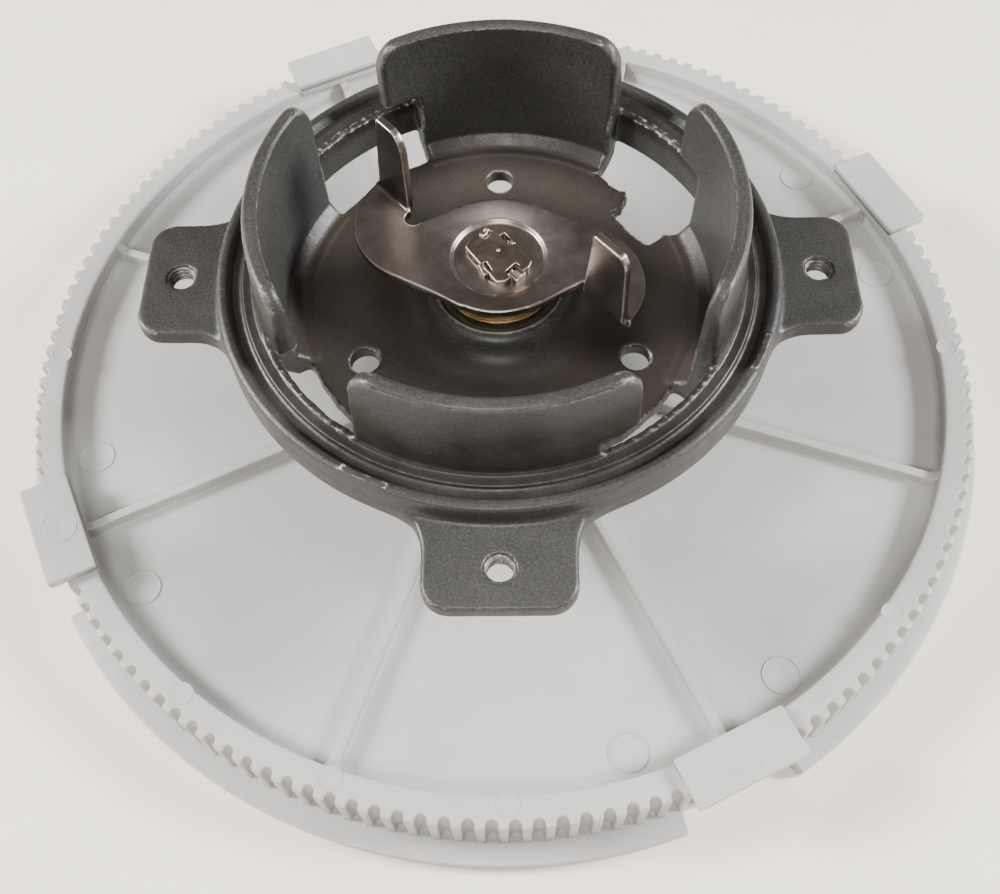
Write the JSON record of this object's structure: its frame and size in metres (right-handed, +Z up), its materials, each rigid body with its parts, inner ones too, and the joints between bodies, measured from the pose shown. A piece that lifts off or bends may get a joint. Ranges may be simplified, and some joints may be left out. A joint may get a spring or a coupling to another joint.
{
  "type": "toothed drive wheel assembly",
  "caption": "Toothed belt wheel on a short shaft that turns a two-blade coupling inside a cast four-claw socket with four bolt ears.",
  "frame": {"origin": "on the shaft axis, in the plane of the wheel's flange that the part rests on", "axes": "+Z up the shaft towards the coupling; +X and +Y each along one pair of opposite ears"},
  "size_m": [0.1484, 0.1484, 0.0468],
  "materials": {
    "moulded_plastic": "satin moulded",
    "cast_coat": "satin dark coat over a die casting, worn bright at its edges",
    "stamped_steel": "burnished",
    "shaft_steel": "oiled, darkened",
    "zinc_steel": "zinc plated",
    "spring_steel": "blackened",
    "sintered_bronze": "porous, oiled",
    "bronze_washer": "turned"
  },
  "bodies": {
    "socket": {"pan_socket": "cast_coat", "upper_bush": "sintered_bronze", "lower_bush": "sintered_bronze"},
    "rotor": {"toothed_pulley": "moulded_plastic", "hub_insert": "zinc_steel", "drive_shaft": "shaft_steel", "drive_coupling": "stamped_steel", "upper_thrust_washer": "bronze_washer", "upper_spacer_washer": "shaft_steel", "lower_thrust_washer": "bronze_washer", "lower_spacer_washer": "zinc_steel", "hub_washer": "zinc_steel", "retaining_clip": "spring_steel"}
  },
  "joints": [
    {"name": "wheel_spin", "type": "hinge", "parent": "socket", "child": "rotor", "pos_m": [0, 0, 0.02], "axis": [0, 0, 1], "continuous": true}
  ]
}
